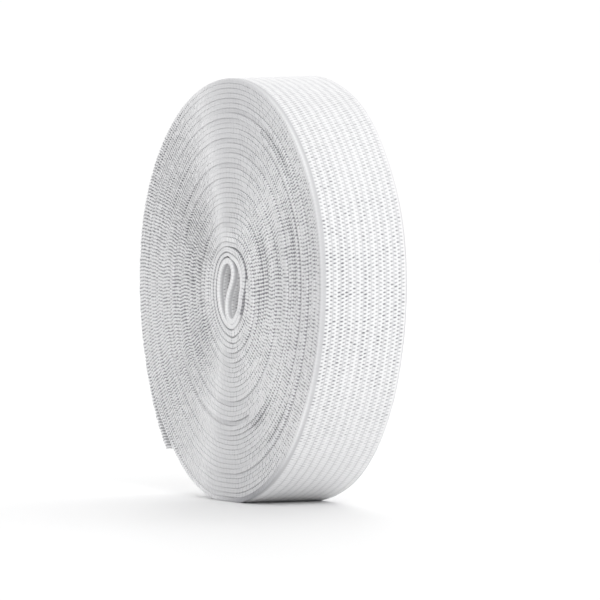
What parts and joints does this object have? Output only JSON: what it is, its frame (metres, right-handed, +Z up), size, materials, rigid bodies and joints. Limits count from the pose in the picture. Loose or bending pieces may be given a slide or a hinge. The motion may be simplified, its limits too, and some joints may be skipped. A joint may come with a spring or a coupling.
{
  "type": "roll of elastic",
  "caption": "Flat woven elastic tape wound tightly on itself without a core, standing on its rim, with a lifted loose end and an S-shaped fold at the middle.",
  "frame": {"origin": "middle of the flat spot on the rim that the roll rests on", "axes": "+Z up; Y along the winding axis, with the roll's two faces at -Y and +Y; +X to the right seen from -Y, with the lifted loose end low at -X"},
  "size_m": [0.0921, 0.02, 0.091],
  "materials": {
    "elastic": "white woven elastic, matt with a soft sheen"
  },
  "bodies": {
    "root": {"wound_elastic": "elastic"}
  },
  "joints": []
}
